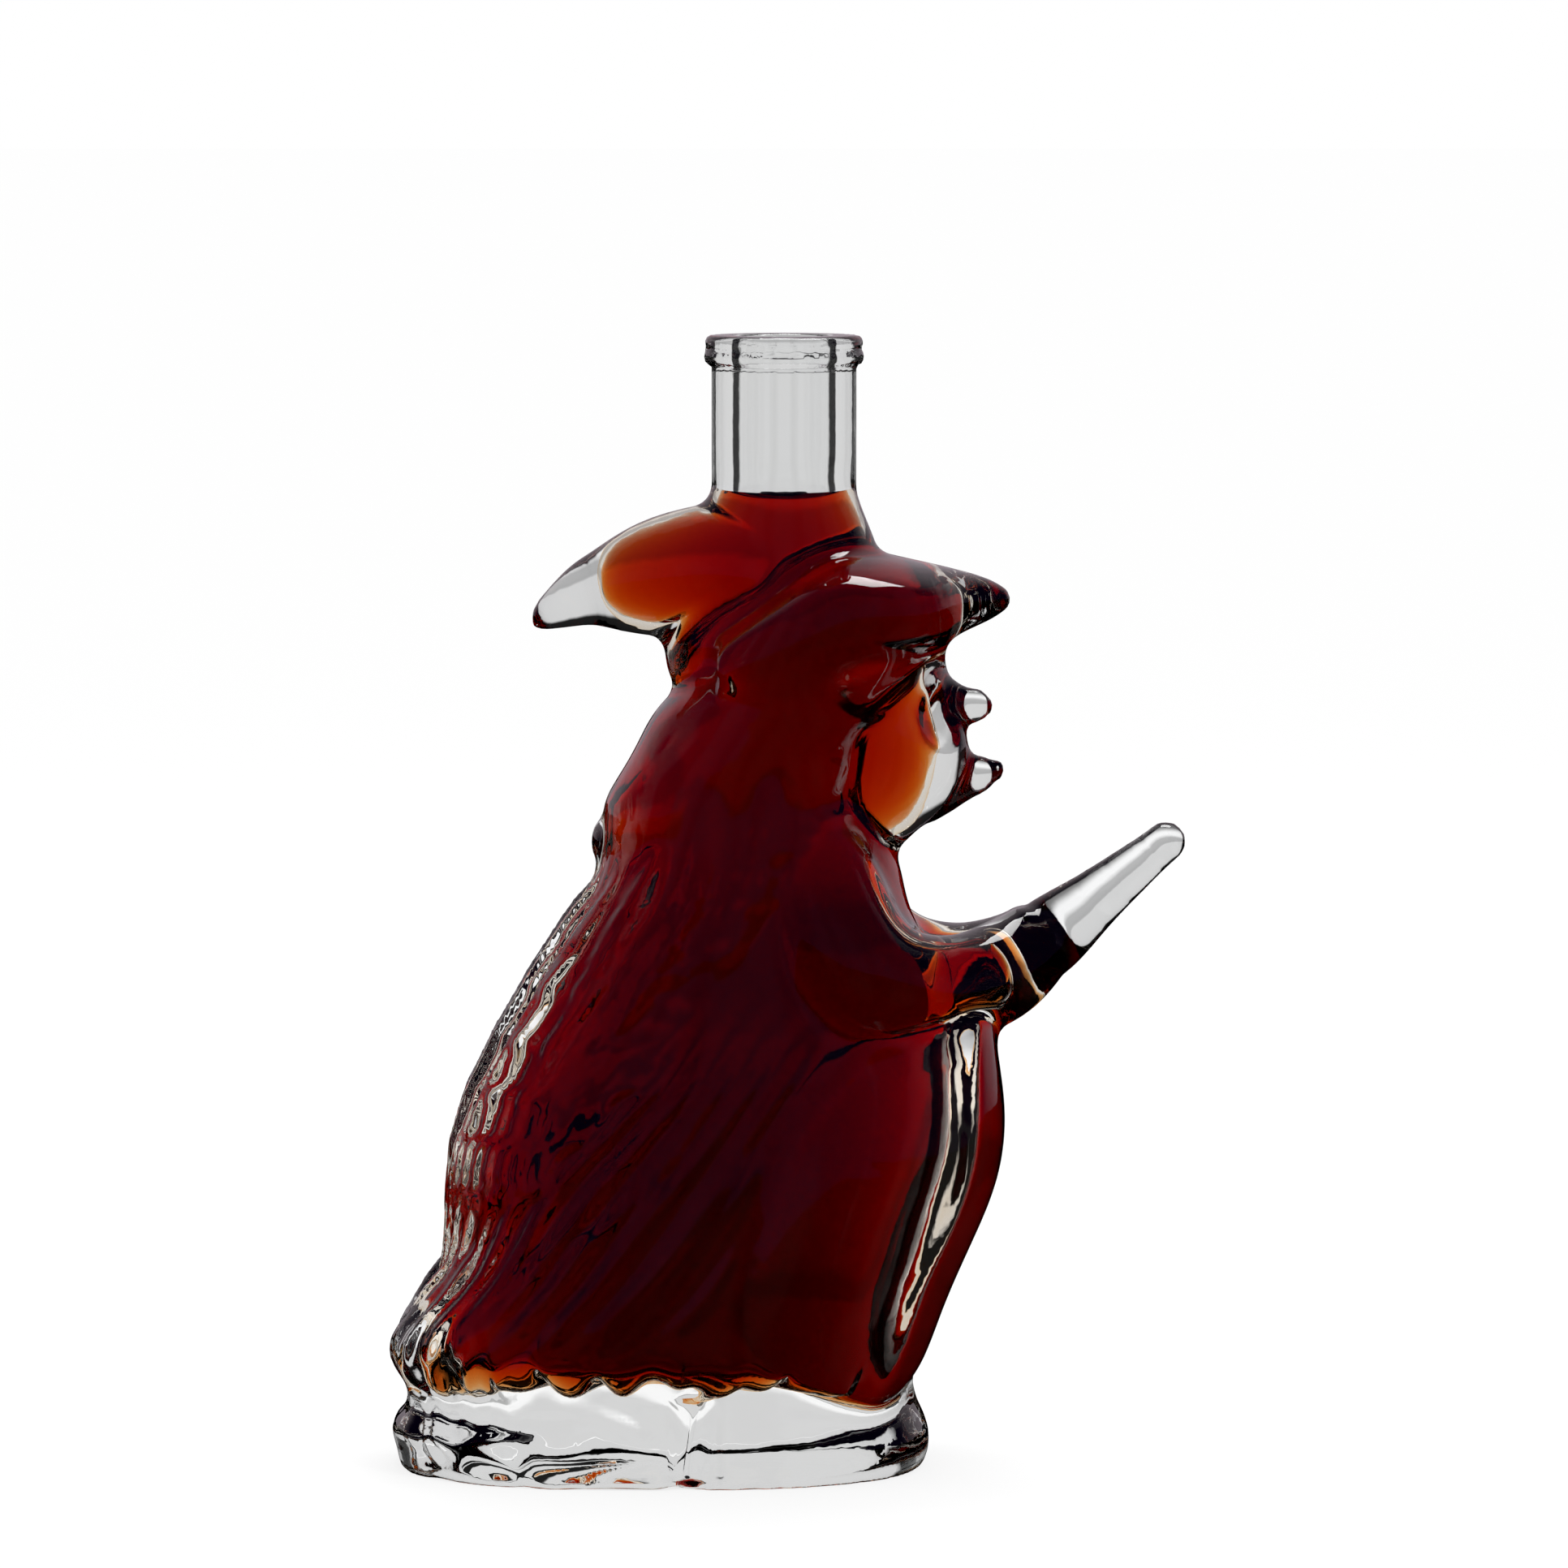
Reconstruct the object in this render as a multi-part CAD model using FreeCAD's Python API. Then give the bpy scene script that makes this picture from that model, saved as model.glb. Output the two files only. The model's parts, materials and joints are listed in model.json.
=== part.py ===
import FreeCAD, Part
import math
import os

# Figural liquor decanter: a moulded clear-glass bottle in the shape of a hunched figure
# with a crooked pointed hat, and the liquor that fills it to the foot of the neck.
# +X is the way the figure faces, +Z is up, and the mould's parting plane is Y = 0.
# The origin is the middle of the footprint, on the surface that the bottle stands on.
# Lengths are in millimetres. A table of shares gives each section of a form as shares,
# chosen by hand, of the sizes that the form is named for.

# Heights, from the mouth down: the neck, the hat above the head, and the head's features
bottle_height = 199.5
neck_length = 27.5
hat_rise = 26.5
crown_sink = 9.5
tip_rise = 4.1
face_drop = 18.5
shoulder_drop = 33.5
lap_drop = 32.0
liquor_drop = 0.4
neck_bottom = bottle_height - neck_length
liquor_level = neck_bottom - liquor_drop
figure_height = neck_bottom - hat_rise

# Robe, torso and head, as one form from the floor to the top of the head
base_length = 94.0
base_depth = 66.0
floor_corner = 1.35
floor_thickness = 17.0
floor_round = 5.0
back_wall = 7.5
front_wall = 6.0
lap_wall = 4.5
hood_wall = 3.0
side_wall = 4.0
punt_depth = 1.8
punt_length = 74.0
punt_width = 46.0

# Face, nose and chin
face_place_x = 38.0
face_place_z = figure_height - face_drop
face_length = 32.0
face_height = 34.0
face_depth = 28.0
face_wall = 6.0
face_front_wall = 8.0
nose_root_x = 48.0
nose_rise = 7.6
nose_length = 10.3
nose_root_width = 13.0
nose_tip_width = 3.4
chin_root_x = 45.5
chin_drop = 7.2
chin_length = 15.2
chin_root_width = 13.0
chin_tip_width = 3.6

# Eye sockets, pressed into both sides of the face
eye_x = 54.0
eye_rise = 7.4
eye_spread = 13.4
eye_diameter = 18.4

# Hat: brim, crown and crooked tip
brim_back_x = 4.5
brim_length = 56.6
brim_depth = 56.0
brim_thickness = 24.0
brim_height = figure_height
brim_wall = 5.0
crown_bottom = brim_height - crown_sink
crown_length = 39.0
crown_depth = 36.0
crown_wall = 4.5
tip_root_x = 22.0
tip_length = 44.8
tip_height = 25.6
tip_depth = 28.8
tip_level = brim_height + tip_rise
tip_wall = 4.8

# Neck and its corked finish
neck_x = 21.4
neck_diameter = 25.4
neck_sink = 1.0
bore_diameter = 16.0
ring_diameter = 28.0
ring_height = 3.0
bead_diameter = 27.8
bead_height = 1.9
finish_height = 5.2

# Sleeves, one on each side, that meet in front, and the hand that comes out of them
shoulder_x = 25.0
shoulder_z = figure_height - shoulder_drop
sleeve_reach = 41.5
sleeve_drop = 26.5
sleeve_spread = 19.0
sleeve_diameter = 22.0
sleeve_wall = 4.2
hand_root_x = 60.0
hand_drop = 25.0
hand_length = 40.4
hand_root_width = 14.4
hand_tip_width = 7.0

# Lap that fills out the front of the robe, and the hair knot on the back
lap_back_x = 10.0
lap_bottom = 13.0
lap_length = 50.4
lap_height = shoulder_z - lap_drop - lap_bottom
lap_depth = 70.0
knot_x = -6.4
knot_drop = 1.6
knot_diameter = 11.6

# Robe folds from the hem up, hair locks from the hat down, and the notch in each side of the foot
fold_bottom = 17.5
fold_rise = 48.0
fold_width = 6.4
fold_height = 1.5
lock_bottom = 48.0
lock_rise = 80.0
lock_width = 8.4
lock_height = 1.4
notch_x = 5.0
notch_width = 9.0
notch_depth = 2.2
notch_height = 16.0

# Directions in the parting plane, in degrees above +X
nose_slope = -2.0
chin_slope = 14.0
hand_slope = 39.2
quarter_turn = 90.0
full_turn = 360.0

# Shape of a section, and how far a cutting tool runs past what it cuts
section_points = 20
robe_squareness = 2.4
round_squareness = 2.0
lap_squareness = 4.6
hollow_squareness = 2.2
overrun = 2.0

# Rows are height, back, front and depth: shares of figure_height, half base_length and half base_depth
figure_shares = (
    (0.000, -0.975, 0.968, 0.980),
    (0.011, -0.995, 0.990, 0.995),
    (0.026, -1.004, 1.000, 0.998),
    (0.062, -1.000, 0.978, 0.996),
    (0.105, -0.975, 0.940, 0.992),
    (0.150, -1.020, 0.950, 0.993),
    (0.197, -0.915, 0.985, 1.000),
    (0.252, -0.826, 1.045, 1.000),
    (0.313, -0.815, 1.108, 0.995),
    (0.381, -0.795, 1.172, 0.976),
    (0.442, -0.732, 1.192, 0.940),
    (0.503, -0.632, 1.170, 0.895),
    (0.565, -0.526, 1.110, 0.850),
    (0.626, -0.428, 1.015, 0.812),
    (0.680, -0.312, 0.926, 0.765),
    (0.728, -0.234, 0.890, 0.730),
    (0.776, -0.217, 0.820, 0.705),
    (0.830, -0.172, 0.752, 0.700),
    (0.884, -0.077, 0.785, 0.705),
    (0.939, 0.040, 0.870, 0.715),
    (1.000, 0.095, 1.000, 0.680),
)

# Rows are height, back, front and depth: shares of lap_height, lap_length and half lap_depth
lap_shares = (
    (0.00, 0.10, 0.610, 0.62),
    (0.105, 0.02, 0.703, 0.88),
    (0.26, 0.01, 0.787, 0.97),
    (0.43, 0.05, 0.884, 1.00),
    (0.60, 0.12, 0.972, 0.995),
    (0.755, 0.23, 0.996, 0.970),
    (0.87, 0.37, 0.980, 0.900),
    (0.95, 0.47, 0.965, 0.780),
    (1.02, 0.54, 0.950, 0.600),
    (1.11, 0.60, 0.930, 0.400),
    (1.18, 0.66, 0.900, 0.220),
)

# Rows are height, back, front and depth: shares of face_height, half face_length and half face_depth
face_shares = (
    (-0.62, -0.55, -0.08, 0.50),
    (-0.45, -0.58, 0.38, 0.68),
    (-0.30, -0.70, 0.74, 0.86),
    (-0.12, -0.75, 0.98, 0.97),
    (0.06, -0.75, 0.97, 1.00),
    (0.26, -0.70, 0.81, 0.98),
    (0.48, -0.60, 0.73, 0.90),
    (0.62, -0.55, 0.64, 0.80),
)

# Rows are place, level, height and depth: shares of brim_length, brim_thickness and half brim_depth
brim_shares = (
    (0.00, -0.40, 0.20, 0.30),
    (0.10, -0.27, 0.39, 0.74),
    (0.28, -0.01, 0.49, 0.97),
    (0.49, 0.22, 0.47, 1.00),
    (0.665, 0.250, 0.37, 0.88),
    (0.765, 0.260, 0.310, 0.71),
    (0.835, 0.292, 0.240, 0.45),
    (0.91, 0.310, 0.174, 0.23),
    (0.972, 0.316, 0.100, 0.115),
    (1.00, 0.316, 0.040, 0.045),
)
brim_hollow_shares = brim_shares[:6] + ((0.81, 0.262, 0.200, 0.34), (0.83, 0.265, 0.140, 0.21))

# Rows are height, back, front and depth: shares of the crown's rise, half crown_length and half crown_depth
crown_shares = (
    (0.00, -0.93, 0.93, 0.90),
    (0.26, -1.08, 0.96, 0.98),
    (0.48, -1.04, 0.93, 0.91),
    (0.758, -0.86, 0.82, 0.80),
    (0.90, -0.73, 0.715, 0.735),
    (1.00, -0.655, 0.655, 0.71),
)

# Rows are place, level, height and depth: shares of tip_length, tip_height, half of it and half tip_depth
tip_shares = (
    (0.00, 0.310, 0.90, 0.96),
    (0.29, 0.325, 0.95, 1.00),
    (0.51, 0.298, 0.825, 0.85),
    (0.69, 0.246, 0.620, 0.65),
    (0.78, 0.205, 0.490, 0.51),
    (0.86, 0.147, 0.405, 0.42),
    (0.945, 0.062, 0.265, 0.29),
    (0.985, 0.020, 0.165, 0.18),
    (1.000, 0.005, 0.070, 0.08),
)
tip_hollow_shares = tip_shares[:4] + ((0.73, 0.230, 0.450, 0.43),)

# Rows are reach, spread, rise and width: shares of the sleeve's reach, spread, drop and diameter
sleeve_shares = (
    (0.00, 0.53, 0.00, 0.39),
    (0.13, 0.93, -0.56, 0.50),
    (0.31, 1.00, -0.925, 0.50),
    (0.57, 0.70, -1.00, 0.435),
    (0.815, 0.29, -0.92, 0.40),
    (1.00, 0.05, -0.715, 0.325),
)
sleeve_hollow_shares = sleeve_shares[:5]

# Rows are place and width along a horn: shares of its length and of the step from tip to root width
nose_shares = ((0.0, 1.0), (0.30, 0.58), (0.58, 0.29), (0.82, 0.08))
chin_shares = ((0.0, 1.0), (0.30, 0.72), (0.58, 0.42), (0.82, 0.13))
hand_shares = ((0.0, 0.50), (0.19, 0.90), (0.475, 0.53), (0.735, 0.16))

# Rows are one fold each: top as a share of fold_rise, turn from the back at hem and at top in degrees
fold_shares = (
    (0.42, 10.0, 17.0),
    (0.50, 21.0, 31.0),
    (0.60, 32.0, 46.0),
    (0.74, 43.0, 60.0),
    (0.88, 54.0, 74.0),
    (1.00, 65.0, 88.0),
    (0.92, 76.0, 97.0),
)

# Rows are one lock each: start and end as shares of lock_rise, turn from the back at both in degrees
lock_shares = (
    (0.70, 0.00, 14.0, 6.0),
    (0.76, 0.05, 37.0, 20.0),
    (0.86, 0.17, 60.0, 38.0),
    (0.95, 0.32, 83.0, 60.0),
    (1.00, 0.47, 105.0, 84.0),
)

# Rows are place along a fold or lock, its width and its height out of the robe, as shares of the largest
ridge_shares = (
    (0.00, 0.30, -0.60),
    (0.16, 0.72, 0.55),
    (0.42, 1.00, 1.00),
    (0.70, 0.85, 0.90),
    (0.90, 0.50, 0.30),
    (1.00, 0.25, -0.60),
)


def power_point(angle, squareness):
    """Point of the unit oval x**n + y**n = 1 at that angle."""
    across = math.cos(angle)
    along = math.sin(angle)
    share = 2.0 / squareness
    return (
        math.copysign(abs(across) ** share, across),
        math.copysign(abs(along) ** share, along),
    )


def oval(centre, first, second, half_first, half_second, squareness):
    """Closed smooth wire of an oval with those half sizes along two directions."""
    points = []
    for step in range(section_points):
        angle = 2.0 * math.pi * step / section_points
        one, two = power_point(angle, squareness)
        points.append(centre + first * (half_first * one) + second * (half_second * two))
    marks = [step / section_points for step in range(section_points + 1)]
    curve = Part.BSplineCurve()
    curve.interpolate(Points=points, PeriodicFlag=True, Parameters=marks)
    return Part.Wire(curve.toShape())


def loft(wires):
    return Part.makeLoft(wires, True, False)


def level_oval(height, back, front, half_depth, squareness):
    """Oval section in a level plane, from back to front along X."""
    centre = FreeCAD.Vector((back + front) / 2.0, 0.0, height)
    return oval(centre, x_way, y_way, (front - back) / 2.0, half_depth, squareness)


def in_plane(slope):
    """Direction in the parting plane, at that many degrees above +X."""
    angle = math.radians(slope)
    return FreeCAD.Vector(math.cos(angle), 0.0, math.sin(angle))


x_way = FreeCAD.Vector(1.0, 0.0, 0.0)
y_way = FreeCAD.Vector(0.0, 1.0, 0.0)
z_way = FreeCAD.Vector(0.0, 0.0, 1.0)


def figure_section(row, back_inset, front_inset, side_inset, squareness):
    """Level section of the robe, torso and head, drawn in by the wall."""
    height, back, front, depth = row
    half_length = base_length / 2.0
    half_depth = base_depth / 2.0
    return level_oval(
        height * figure_height,
        back * half_length + back_inset,
        front * half_length - front_inset,
        depth * half_depth - side_inset,
        squareness,
    )


def figure_form():
    """Outside of the robe, torso and head, rounded under at the foot."""
    wires = [figure_section(row, 0.0, 0.0, 0.0, robe_squareness) for row in figure_shares]
    return loft(wires)


def hollow_section(row, inset):
    """Section of the hollow, with its own front wall in the lap and behind the face."""
    height = row[0] * figure_height
    front = front_wall
    if height < lap_bottom + lap_height:
        front = lap_wall
    elif height > shoulder_z:
        front = hood_wall
    return figure_section(row, back_wall + inset, front + inset, side_wall + inset, hollow_squareness)


def figure_hollow():
    """Inside of the robe, torso and head, above the thick floor and rounded into it."""
    rows = [row for row in figure_shares if row[0] * figure_height > floor_thickness + floor_round]
    low = rows[0]
    steps = [(floor_thickness, floor_round), (floor_thickness + floor_corner, floor_corner)]
    wires = []
    for height, inset in steps:
        row = (height / figure_height, low[1], low[2], low[3])
        wires.append(hollow_section(row, inset))
    wires += [hollow_section(row, 0.0) for row in rows]
    return loft(wires)


def face_form(front_inset, side_inset):
    """Face under the brim, from throat to brow."""
    wires = []
    for height, back, front, depth in face_shares:
        wires.append(
            level_oval(
                face_place_z + height * face_height,
                face_place_x + back * face_length / 2.0,
                face_place_x + front * face_length / 2.0 - front_inset,
                depth * face_depth / 2.0 - side_inset,
                round_squareness,
            )
        )
    return loft(wires)


def horn(root_x, root_z, slope, length, root_width, tip_width, shares):
    """Solid tapering horn with a round tip, such as the nose, the chin or the hand."""
    way = in_plane(slope)
    square = in_plane(slope + quarter_turn)
    root = FreeCAD.Vector(root_x, 0.0, root_z)
    tip_radius = tip_width / 2.0
    step = root_width / 2.0 - tip_radius
    edge = [root + way * (place * length) + square * (tip_radius + width * step) for place, width in shares]
    shoulder = root + way * (length - tip_radius)
    edge.append(shoulder + square * tip_radius)
    side = Part.BSplineCurve()
    side.interpolate(edge, FinalTangent=way, InitialTangent=edge[1] - edge[0])
    over = shoulder + (way + square) * (tip_radius / math.sqrt(2.0))
    end = shoulder + way * tip_radius
    wire = Part.Wire(
        [
            Part.LineSegment(root, edge[0]).toShape(),
            side.toShape(),
            Part.Arc(edge[-1], over, end).toShape(),
            Part.LineSegment(end, root).toShape(),
        ]
    )
    return Part.Face(wire).revolve(root, way, full_turn)


def brim_form(inset, rows):
    """Drooping brim, as upright sections from the back of the head to the front point."""
    wires = []
    for place, level, height, depth in rows:
        centre = FreeCAD.Vector(
            brim_back_x + place * brim_length + inset * (1.0 - 2.0 * place),
            0.0,
            brim_height + level * brim_thickness,
        )
        half_height = height * brim_thickness - inset / 2.0
        half_depth = depth * brim_depth / 2.0 - inset
        wires.append(oval(centre, y_way, z_way, half_depth, half_height, robe_squareness))
    return loft(wires)


def crown_form(inset):
    """Crown of the hat, from inside the brim up to the neck."""
    rise = neck_bottom - crown_bottom
    wires = []
    for height, back, front, depth in crown_shares:
        wires.append(
            level_oval(
                crown_bottom + height * rise,
                neck_x + back * crown_length / 2.0 + inset,
                neck_x + front * crown_length / 2.0 - inset,
                depth * crown_depth / 2.0 - inset,
                round_squareness,
            )
        )
    return loft(wires)


def tip_form(inset, rows):
    """Crooked tip of the hat, bent over backwards."""
    wires = []
    for place, level, height, depth in rows:
        centre = FreeCAD.Vector(tip_root_x - place * tip_length, 0.0, tip_level + level * tip_height)
        half_height = height * tip_height / 2.0 - inset
        half_depth = depth * tip_depth / 2.0 - inset
        wires.append(oval(centre, y_way, z_way, half_depth, half_height, round_squareness))
    return loft(wires)


def tube(places, radii):
    """Round bar that runs through those places, with a radius at each."""
    wires = []
    first = y_way
    for index, (place, radius) in enumerate(zip(places, radii)):
        before = places[max(index - 1, 0)]
        after = places[min(index + 1, len(places) - 1)]
        way = after - before
        way.normalize()
        first = first - way * first.dot(way)
        first.normalize()
        wires.append(oval(place, first, way.cross(first), radius, radius, round_squareness))
    return loft(wires)


def sleeve_form(inset, rows):
    """Wide sleeve on the far side, from inside the shoulder, round the elbow, to the cuff."""
    places = []
    radii = []
    for reach, spread, rise, width in rows:
        places.append(
            FreeCAD.Vector(
                shoulder_x + reach * sleeve_reach,
                spread * sleeve_spread,
                shoulder_z + rise * sleeve_drop,
            )
        )
        radii.append(width * sleeve_diameter - inset)
    return tube(places, radii)


def figure_at(height):
    """Back, front and half depth of the robe, torso and head at that height."""
    share = height / figure_height
    for low, high in zip(figure_shares, figure_shares[1:]):
        if share <= high[0]:
            break
    along = (share - low[0]) / (high[0] - low[0])
    back, front, depth = [one + along * (two - one) for one, two in zip(low[1:], high[1:])]
    return back * base_length / 2.0, front * base_length / 2.0, depth * base_depth / 2.0


def ridge(start, end, first_turn, last_turn, width, rise):
    """Fold or lock on the far side, sunk in at both ends, between two heights and turns from the back."""
    places = []
    radii = []
    for share, width_share, rise_share in ridge_shares:
        height = start + share * (end - start)
        angle = math.radians(first_turn + share * (last_turn - first_turn))
        back, front, half_depth = figure_at(height)
        across, along = power_point(angle, robe_squareness)
        half_length = (front - back) / 2.0
        radius = width_share * width / 2.0
        out = FreeCAD.Vector(-math.cos(angle), math.sin(angle), 0.0)
        spot = FreeCAD.Vector(front - half_length - across * half_length, along * half_depth, height)
        places.append(spot + out * (rise_share * rise - radius))
        radii.append(radius)
    return tube(places, radii)


def both_sides(form):
    return [form, form.mirror(FreeCAD.Vector(), y_way)]


def robe_relief():
    """Folds of the robe and locks of the hair, on both sides."""
    forms = []
    for top, hem_turn, top_turn in fold_shares:
        fold_top = fold_bottom + top * fold_rise
        forms += both_sides(ridge(fold_bottom, fold_top, hem_turn, top_turn, fold_width, fold_height))
    for start, end, top_turn, end_turn in lock_shares:
        lock_top = lock_bottom + start * lock_rise
        lock_end = lock_bottom + end * lock_rise
        forms += both_sides(ridge(lock_top, lock_end, top_turn, end_turn, lock_width, lock_height))
    return forms


def eye_sockets():
    """Round hollow beside the root of the nose, on both sides."""
    place = FreeCAD.Vector(eye_x, eye_spread, face_place_z + eye_rise)
    return both_sides(ball(eye_diameter, eye_diameter, eye_diameter, eye_diameter, place))


def foot_notches():
    """Upright notch in each side of the foot, where its two lobes meet."""
    radius = notch_width / 2.0
    reach = base_depth / 2.0 + radius - notch_depth
    return both_sides(Part.makeCylinder(radius, notch_height, FreeCAD.Vector(notch_x, reach, 0.0)))


def both_sleeves(inset, rows):
    return both_sides(sleeve_form(inset, rows))


def lap_form():
    """Rounded lap under the robe, from the hem up to the web between the sleeves."""
    wires = []
    for height, back, front, depth in lap_shares:
        wires.append(
            level_oval(
                lap_bottom + height * lap_height,
                lap_back_x + back * lap_length,
                lap_back_x + front * lap_length,
                depth * lap_depth / 2.0,
                lap_squareness,
            )
        )
    return loft(wires)


def ball(diameter, length, depth, height, place):
    """Sphere stretched to a length, depth and height, at its place."""
    sphere = Part.makeSphere(diameter / 2.0)
    stretch = FreeCAD.Matrix()
    stretch.scale(length / diameter, depth / diameter, height / diameter)
    stretched = sphere.transformGeometry(stretch)
    stretched.translate(place)
    return stretched


def neck_form():
    """Neck with a ring and a lip bead around its mouth, turned about its own axis."""
    radius = neck_diameter / 2.0
    finish_bottom = bottle_height - finish_height
    ring_middle = finish_bottom + ring_height / 2.0
    ring_top = finish_bottom + ring_height
    bead_bottom = bottle_height - bead_height
    bead_middle = bottle_height - bead_height / 2.0
    groove = (ring_top + bead_bottom) / 2.0

    def at(reach, height):
        return FreeCAD.Vector(neck_x + reach, 0.0, height)

    neck_start = neck_bottom - neck_sink
    wire = Part.Wire(
        [
            Part.LineSegment(at(0.0, neck_start), at(radius, neck_start)).toShape(),
            Part.LineSegment(at(radius, neck_start), at(radius, finish_bottom)).toShape(),
            Part.Arc(
                at(radius, finish_bottom), at(ring_diameter / 2.0, ring_middle), at(radius, groove)
            ).toShape(),
            Part.Arc(
                at(radius, groove), at(bead_diameter / 2.0, bead_middle), at(radius, bottle_height)
            ).toShape(),
            Part.LineSegment(at(radius, bottle_height), at(0.0, bottle_height)).toShape(),
            Part.LineSegment(at(0.0, bottle_height), at(0.0, neck_start)).toShape(),
        ]
    )
    return Part.Face(wire).revolve(at(0.0, neck_start), z_way, full_turn)


def bore_form():
    """Round bore of the neck, from the crown up through the mouth."""
    place = FreeCAD.Vector(neck_x, 0.0, neck_bottom - overrun)
    length = overrun + bottle_height - neck_bottom + overrun
    return Part.makeCylinder(bore_diameter / 2.0, length, place)


def punt_form():
    """Shallow dome pushed up into the underside."""
    return ball(punt_width, punt_length, punt_width, punt_depth + punt_depth, FreeCAD.Vector())


def outside():
    """Whole outer form of the glass."""
    nose_z = face_place_z + nose_rise
    chin_z = face_place_z - chin_drop
    hand_z = shoulder_z - hand_drop
    knot_place = FreeCAD.Vector(knot_x, 0.0, shoulder_z - knot_drop)
    forms = [
        face_form(0.0, 0.0),
        horn(nose_root_x, nose_z, nose_slope, nose_length, nose_root_width, nose_tip_width, nose_shares),
        horn(chin_root_x, chin_z, chin_slope, chin_length, chin_root_width, chin_tip_width, chin_shares),
        brim_form(0.0, brim_shares),
        crown_form(0.0),
        tip_form(0.0, tip_shares),
        neck_form(),
        lap_form(),
        horn(hand_root_x, hand_z, hand_slope, hand_length, hand_root_width, hand_tip_width, hand_shares),
        ball(knot_diameter, knot_diameter, knot_diameter, knot_diameter, knot_place),
    ]
    forms += both_sleeves(0.0, sleeve_shares) + robe_relief()
    whole = figure_form().multiFuse(forms)
    return whole.cut(foot_notches() + eye_sockets())


def hollow():
    """Whole cavity of the bottle, open at the mouth."""
    forms = [
        face_form(face_front_wall, face_wall),
        brim_form(brim_wall, brim_hollow_shares),
        crown_form(crown_wall),
        tip_form(tip_wall, tip_hollow_shares),
        bore_form(),
    ]
    return figure_hollow().multiFuse(forms + both_sleeves(sleeve_wall, sleeve_hollow_shares))


def liquor_form(cavity):
    """Liquor that fills the cavity up to its level in the neck."""
    reach = base_length + brim_length
    place = FreeCAD.Vector(-reach, -reach, liquor_level)
    above = Part.makeBox(reach + reach, reach + reach, bottle_height, place)
    return cavity.cut(above)


def write(shape, name):
    solids = shape.Solids
    body = solids[0] if len(solids) == 1 else Part.makeCompound(solids)
    print(name, len(solids), "solids", round(body.Volume / 1000.0, 1), "cm3", "valid", body.isValid())
    body.exportStep(os.path.join("parts", name + ".step"))


os.makedirs("parts", exist_ok=True)
cavity = hollow()
glass = outside().cut(punt_form()).cut(cavity)
write(glass, "glass_bottle")
write(liquor_form(cavity), "liquor")
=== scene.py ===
import json
import math

import bmesh
import bpy
import numpy as np
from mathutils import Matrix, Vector
from mathutils.bvhtree import BVHTree


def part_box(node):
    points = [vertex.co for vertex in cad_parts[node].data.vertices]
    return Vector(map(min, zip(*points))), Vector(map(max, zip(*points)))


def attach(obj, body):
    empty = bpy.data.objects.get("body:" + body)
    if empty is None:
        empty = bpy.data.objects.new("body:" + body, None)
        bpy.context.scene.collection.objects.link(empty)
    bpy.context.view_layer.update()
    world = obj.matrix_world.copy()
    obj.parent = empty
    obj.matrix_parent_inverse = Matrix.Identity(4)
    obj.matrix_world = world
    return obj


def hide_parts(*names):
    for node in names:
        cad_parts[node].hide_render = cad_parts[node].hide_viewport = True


# moulded glass figure bottle, full of dark liquor, on white
# lengths are millimetres, apart from the lamps, the floor's size and the camera's far end, in metres

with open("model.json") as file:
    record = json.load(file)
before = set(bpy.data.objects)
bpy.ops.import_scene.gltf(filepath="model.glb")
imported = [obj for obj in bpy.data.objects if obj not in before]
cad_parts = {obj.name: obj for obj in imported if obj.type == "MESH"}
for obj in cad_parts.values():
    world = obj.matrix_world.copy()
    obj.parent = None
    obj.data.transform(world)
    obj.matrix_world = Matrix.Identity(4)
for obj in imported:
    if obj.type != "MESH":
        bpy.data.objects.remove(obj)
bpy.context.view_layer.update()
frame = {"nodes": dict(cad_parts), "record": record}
scene = bpy.context.scene
scene.view_settings.view_transform = "Standard"
mm = 0.001
mounts = {m["name"]: m for m in frame["record"]["mounts"]}
boreMount = mounts["neck_bore"]
neckX = boreMount["pos_m"][0] / mm
mouthZ = boreMount["pos_m"][2] / mm
boreRadius = boreMount["dims"]["r_mm"]
boreFoot = mouthZ - boreMount["dims"]["length_mm"]
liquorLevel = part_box("liquor")[1].z / mm
print("frame loaded, mouth at", round(mouthZ, 1), "mm, liquor to", round(liquorLevel, 1), "mm")


def ramp(low, high, value):
    share = np.clip((value - low) / (high - low), 0.0, 1.0)
    return share * share * (3.0 - 2.0 * share)


def bump(value, middle, width):
    return np.exp(-(((value - middle) / width) ** 2))


def readPoints(mesh):
    flat = np.empty(len(mesh.vertices) * 3, dtype=np.float64)
    mesh.vertices.foreach_get("co", flat)
    return flat.reshape(-1, 3) / mm


def writePoints(mesh, points):
    mesh.vertices.foreach_set("co", (points * mm).ravel())
    mesh.update()


def readNormals(mesh):
    flat = np.empty(len(mesh.vertices) * 3, dtype=np.float32)
    mesh.vertex_normals.foreach_get("vector", flat)
    return flat.reshape(-1, 3).astype(np.float64)


def readEdges(mesh):
    flat = np.empty(len(mesh.edges) * 2, dtype=np.int32)
    mesh.edges.foreach_get("vertices", flat)
    return flat.reshape(-1, 2)


def meanOfNeighbours(values, edges):
    first, second = edges[:, 0], edges[:, 1]
    count = np.bincount(edges.ravel(), minlength=len(values))
    total = np.empty_like(values)
    for axis in range(values.shape[1]):
        total[:, axis] = np.bincount(first, values[second, axis], len(values))
        total[:, axis] += np.bincount(second, values[first, axis], len(values))
    return total / np.maximum(count, 1)[:, None]


def relax(points, edges, rounds, steps, weight):
    for _ in range(rounds):
        for step in steps:
            points = points + step * weight[:, None] * (meanOfNeighbours(points, edges) - points)
    return points


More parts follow.
